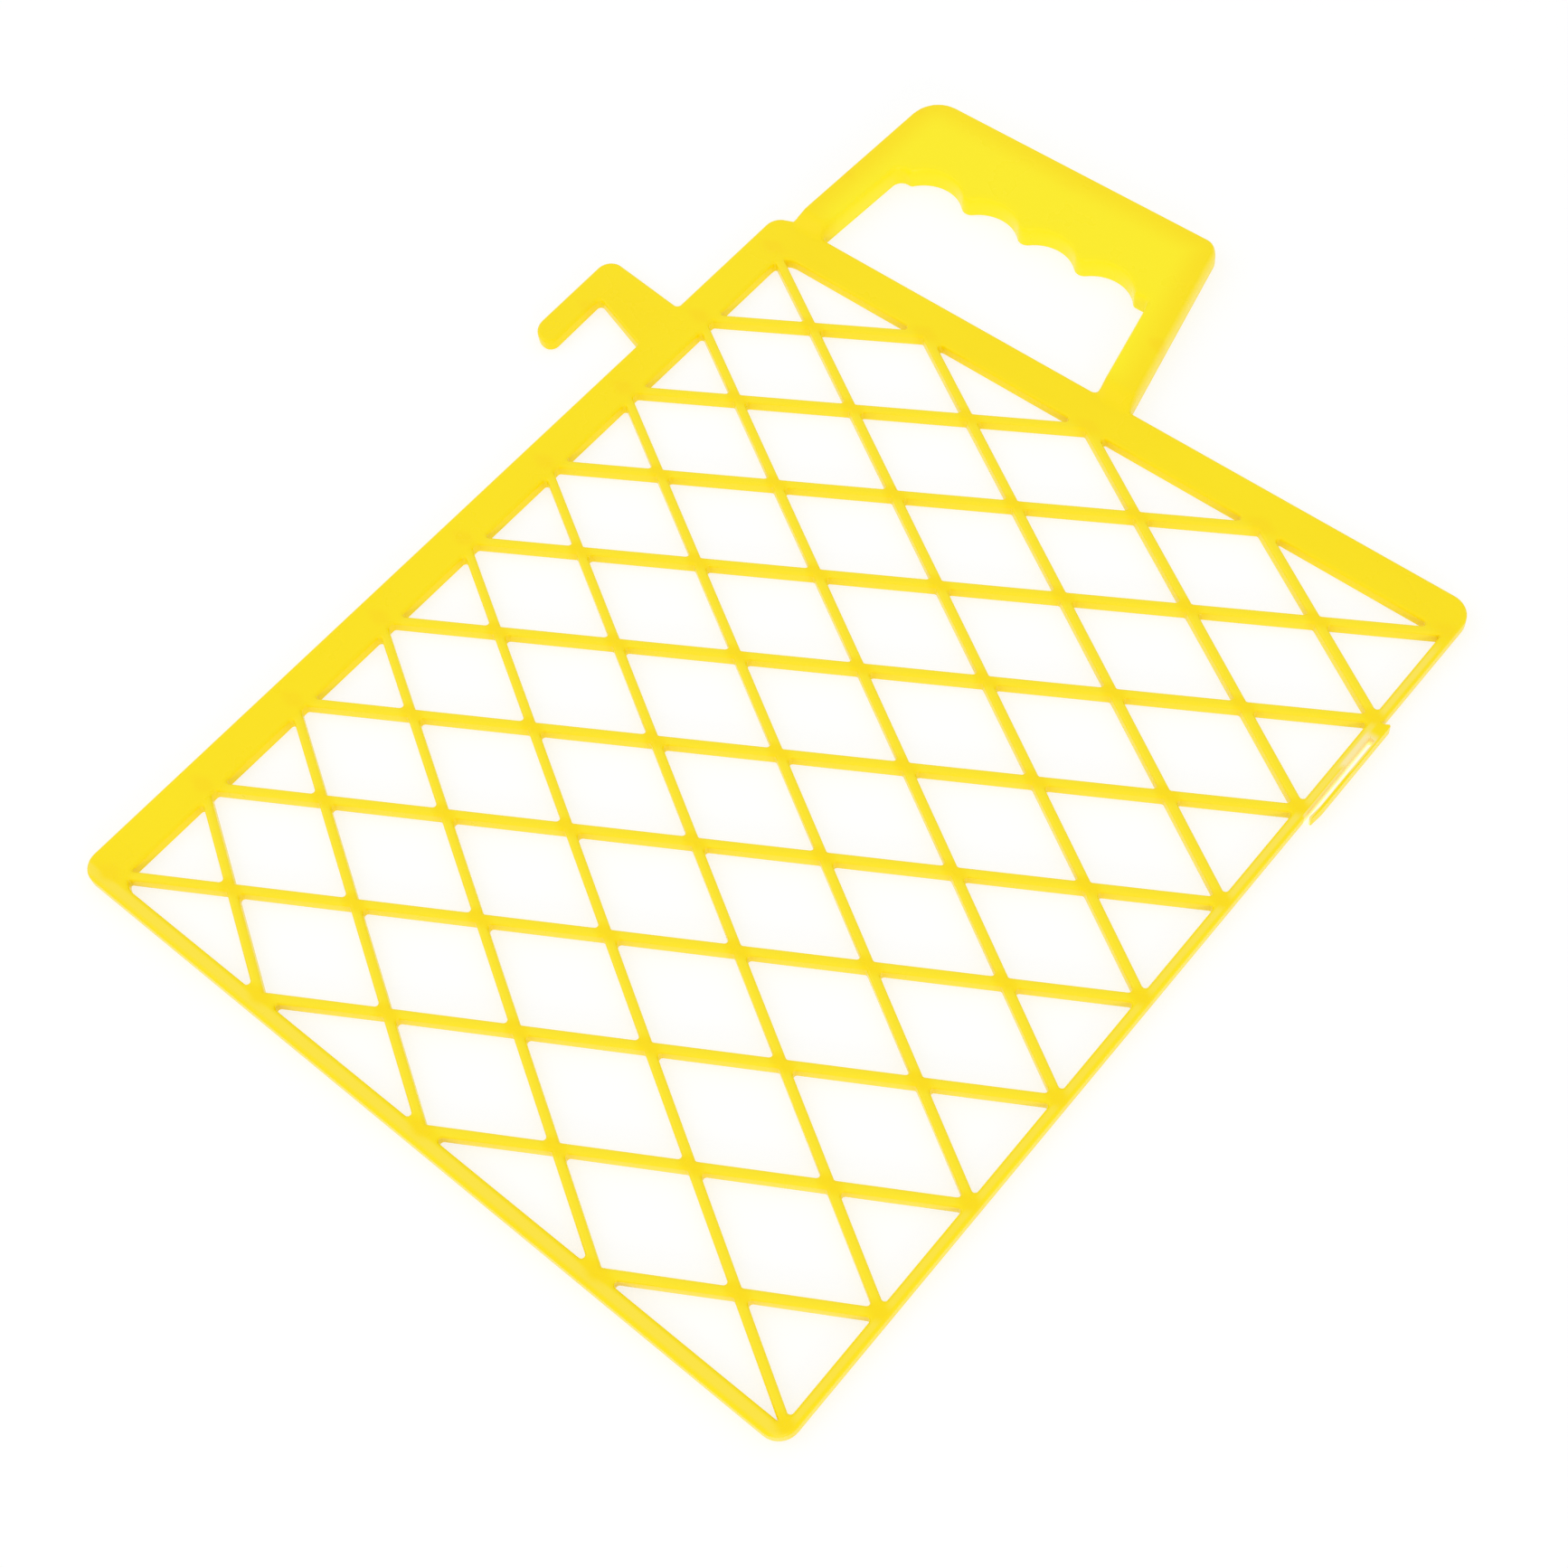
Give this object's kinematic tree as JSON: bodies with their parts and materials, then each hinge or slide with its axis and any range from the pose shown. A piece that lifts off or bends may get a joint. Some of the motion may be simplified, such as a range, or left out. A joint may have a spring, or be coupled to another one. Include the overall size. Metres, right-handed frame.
{
  "type": "paint roller grid",
  "caption": "Flat yellow plastic lattice with a finger-grooved hand grip and a side hook. It hangs in a paint bucket to roll off spare paint.",
  "frame": {"origin": "under the middle of the bounding box, on the flat underside", "axes": "+X across the grid towards the clip, +Y along the grid towards the hand grip, +Z out of the front face"},
  "size_m": [0.2621, 0.3318, 0.0063],
  "materials": {
    "yellow_plastic": "gloss moulded polypropylene, slightly translucent"
  },
  "bodies": {
    "root": {"left_rail": "yellow_plastic", "top_rail": "yellow_plastic", "right_rail": "yellow_plastic", "bottom_rail": "yellow_plastic", "rib_rising_01": "yellow_plastic", "rib_rising_02": "yellow_plastic", "rib_rising_03": "yellow_plastic", "rib_rising_04": "yellow_plastic", "rib_rising_05": "yellow_plastic", "rib_rising_06": "yellow_plastic", "rib_rising_07": "yellow_plastic", "rib_rising_08": "yellow_plastic", "rib_rising_09": "yellow_plastic", "rib_rising_10": "yellow_plastic", "rib_rising_11": "yellow_plastic", "rib_falling_01": "yellow_plastic", "rib_falling_02": "yellow_plastic", "rib_falling_03": "yellow_plastic", "rib_falling_04": "yellow_plastic", "rib_falling_05": "yellow_plastic", "rib_falling_06": "yellow_plastic", "rib_falling_07": "yellow_plastic", "rib_falling_08": "yellow_plastic", "rib_falling_09": "yellow_plastic", "rib_falling_10": "yellow_plastic", "rib_falling_11": "yellow_plastic", "handle_grip": "yellow_plastic", "handle_left_leg": "yellow_plastic", "handle_right_leg": "yellow_plastic", "hanging_hook": "yellow_plastic", "rim_clip": "yellow_plastic"}
  },
  "joints": []
}
